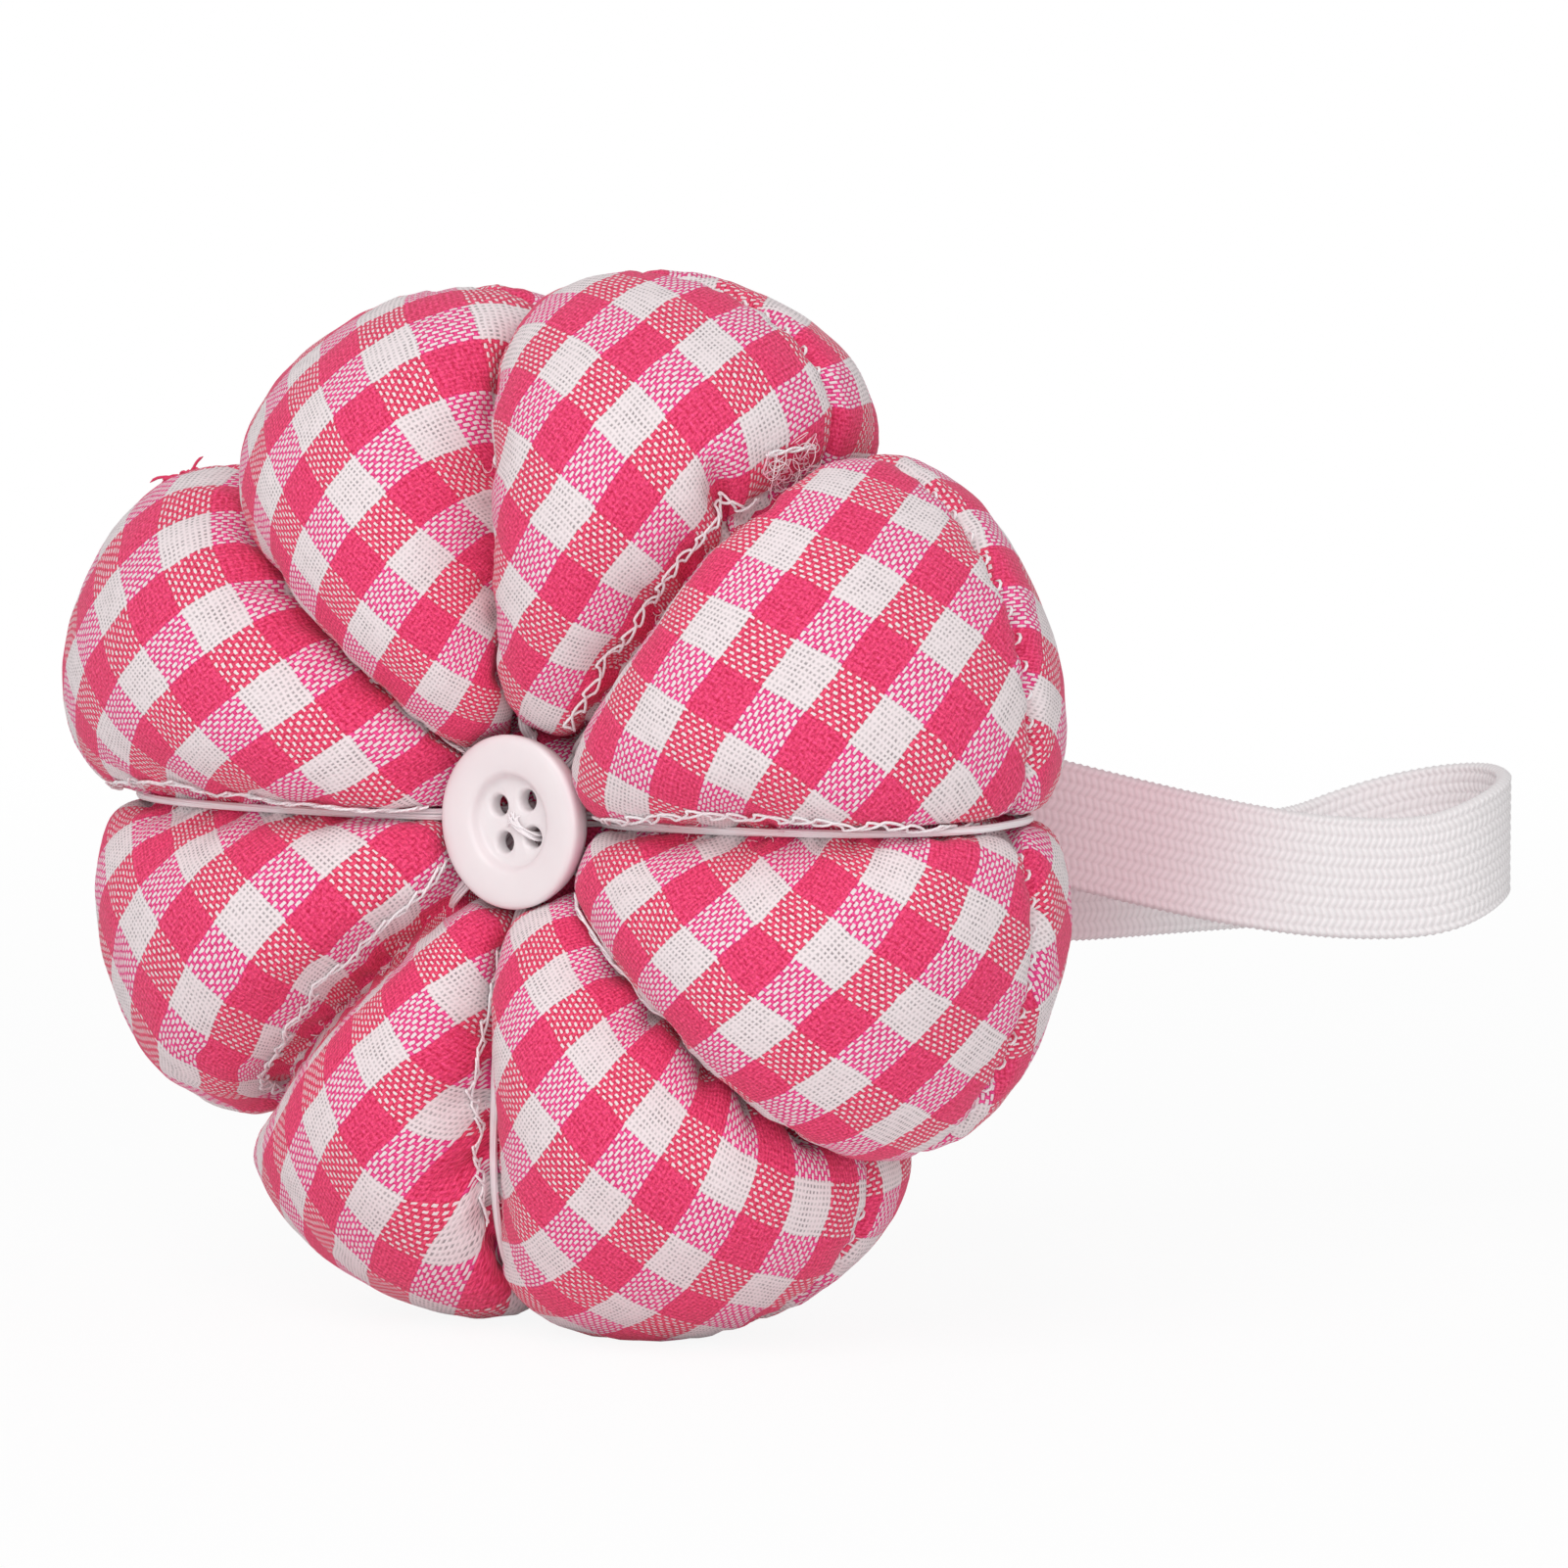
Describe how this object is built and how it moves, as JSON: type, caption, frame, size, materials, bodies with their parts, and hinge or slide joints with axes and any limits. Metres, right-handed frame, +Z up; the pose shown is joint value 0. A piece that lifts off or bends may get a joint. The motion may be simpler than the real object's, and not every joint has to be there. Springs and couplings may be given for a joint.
{
  "type": "wrist pincushion",
  "caption": "Stuffed flower-shaped pincushion of gingham cotton, drawn into petals by thread, with a button sunk in the front and an elastic loop behind that holds it on the wrist.",
  "frame": {"origin": "middle of the bounding box at the table that the two lowest petals stand on", "axes": "+Z up; the bag's axis lies along Y, the button faces -Y and the elastic loop lies behind, towards +Y and +X"},
  "size_m": [0.0884, 0.092, 0.0777],
  "materials": {
    "gingham": "matte",
    "fibre": "matte",
    "thread": "matte",
    "button": "satin",
    "elastic": "matte"
  },
  "bodies": {
    "cushion": {"front_cover": "gingham", "back_cover": "gingham", "fibre_fill": "fibre", "rim_seam_thread": "thread", "groove_stitch_1": "thread", "groove_stitch_2": "thread", "groove_stitch_3": "thread", "groove_stitch_4": "thread", "groove_stitch_5": "thread", "groove_stitch_6": "thread", "groove_stitch_7": "thread", "groove_stitch_8": "thread", "cinch_wrap_1": "thread", "cinch_wrap_2": "thread", "cinch_wrap_3": "thread", "cinch_wrap_4": "thread", "cinch_wrap_5": "thread", "cinch_wrap_6": "thread", "cinch_wrap_7": "thread", "cinch_wrap_8": "thread", "button": "button", "centre_tie": "thread", "back_knot": "thread", "band_tack": "thread"},
    "band_loop": {"elastic_near_run": "elastic", "elastic_far_run": "elastic"},
    "band_end": {"elastic_bend": "elastic"}
  },
  "joints": [
    {"name": "band_swing", "type": "hinge", "parent": "cushion", "child": "band_loop", "pos_m": [-0.00247, -0.016, 0.03827], "axis": [0, 0, 1], "range_deg": [-15, 80]},
    {"name": "band_stretch", "type": "slide", "parent": "band_loop", "child": "band_end", "axis": [0.5736, 0.8192, 0], "range_m": [0, 0.035], "stiffness_N_per_m": 80, "deforming": ["elastic_near_run", "elastic_far_run"]}
  ]
}
